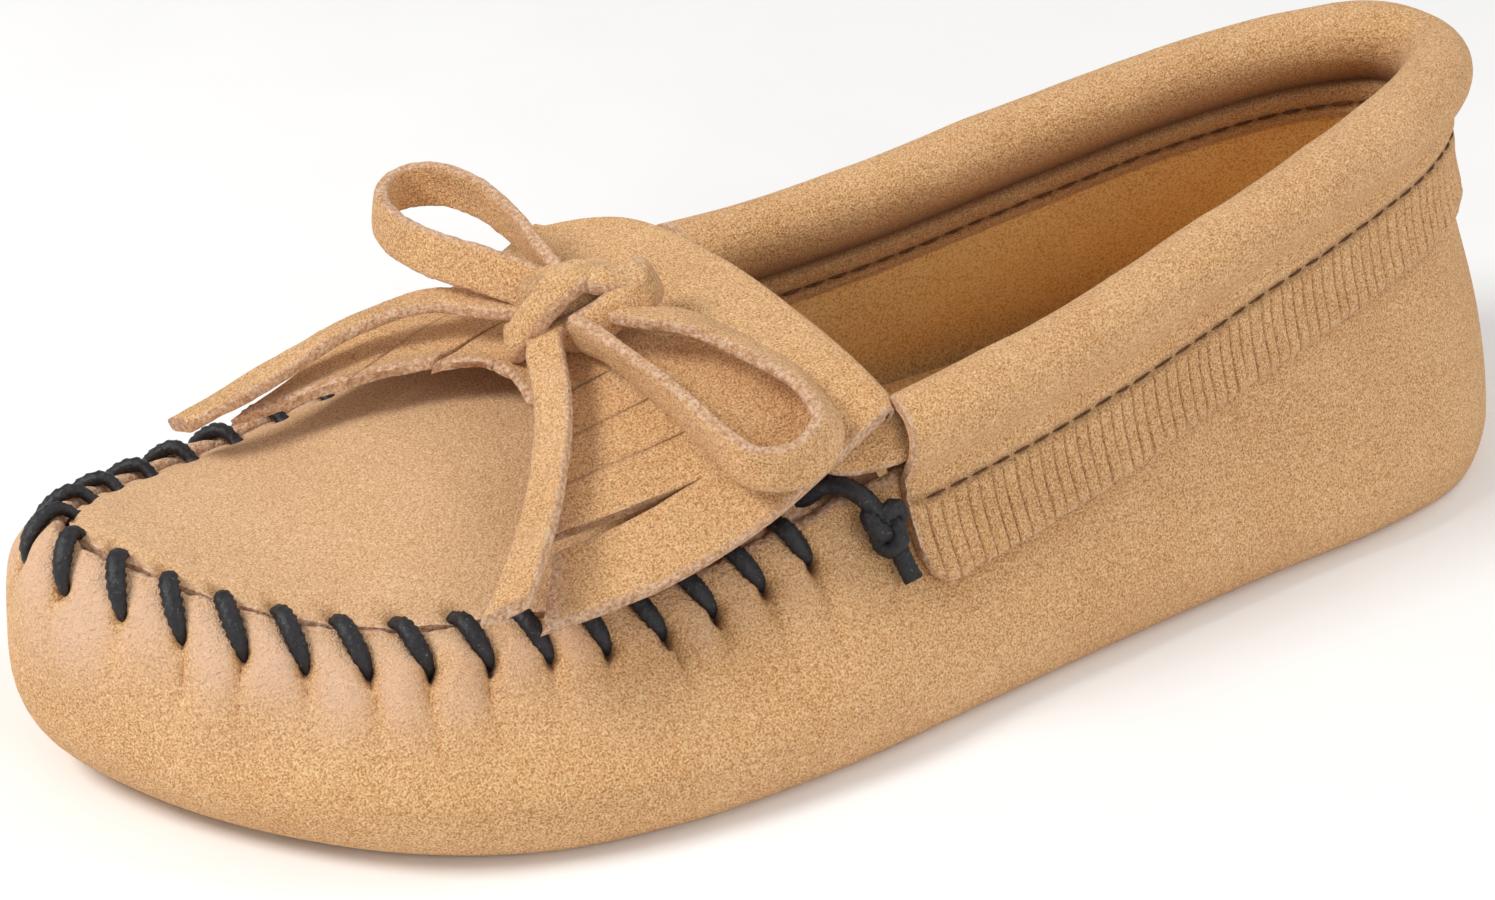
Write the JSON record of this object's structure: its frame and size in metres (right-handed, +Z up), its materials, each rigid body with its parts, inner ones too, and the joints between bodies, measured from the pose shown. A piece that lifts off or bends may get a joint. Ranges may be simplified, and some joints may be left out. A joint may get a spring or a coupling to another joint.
{
  "type": "moccasin",
  "caption": "Soft-soled suede moccasin with a gathered toe seam laced in black cord, a rolled collar with a cut skirt, a fringed flap and a leather bow.",
  "frame": {"origin": "centre of the box that the shoe fills, on the floor under the sole", "axes": "+Z up, +Y towards the heel, -Y towards the toe, +X towards the outer side of the left foot"},
  "size_m": [0.1038, 0.2542, 0.066],
  "materials": {
    "wrap_suede": "light tan suede with a short, even nap",
    "plug_suede": "light tan suede, fine smooth nap",
    "flap_suede": "light tan suede with raw, fibrous cut edges",
    "collar_suede": "light tan suede, rolled and sewn down",
    "lace_suede": "light tan suede lace with pale cut edges",
    "insole_suede": "golden brown brushed leather",
    "foam": "soft open-cell foam",
    "waxed_cord": "black braided cord, waxed, slightly shiny",
    "brown_thread": "dark brown sewing thread"
  },
  "bodies": {
    "shoe": {"body_wrap": "wrap_suede", "toe_plug": "plug_suede", "collar_binding": "collar_suede", "collar_thread_outer": "brown_thread", "collar_thread_inner": "brown_thread", "heel_seam_welt": "wrap_suede", "heel_seam_thread": "brown_thread", "insole_pad": "foam", "insole_cover": "insole_suede", "toe_lacing": "waxed_cord", "lacing_end_left": "waxed_cord", "lacing_end_right": "waxed_cord", "lace_in_collar": "lace_suede", "lace_lead_left": "lace_suede", "lace_lead_right": "lace_suede"},
    "kiltie": {"kiltie_flap": "flap_suede", "bow_knot": "lace_suede", "bow_loop_left": "lace_suede", "bow_loop_right": "lace_suede", "bow_tail_left": "lace_suede", "bow_tail_right": "lace_suede"}
  },
  "joints": [
    {"name": "kiltie_lift", "type": "hinge", "parent": "shoe", "child": "kiltie", "pos_m": [-0.0051, -0.0073, 0.045], "axis": [-1, 0, 0], "range_deg": [0, 25]}
  ]
}
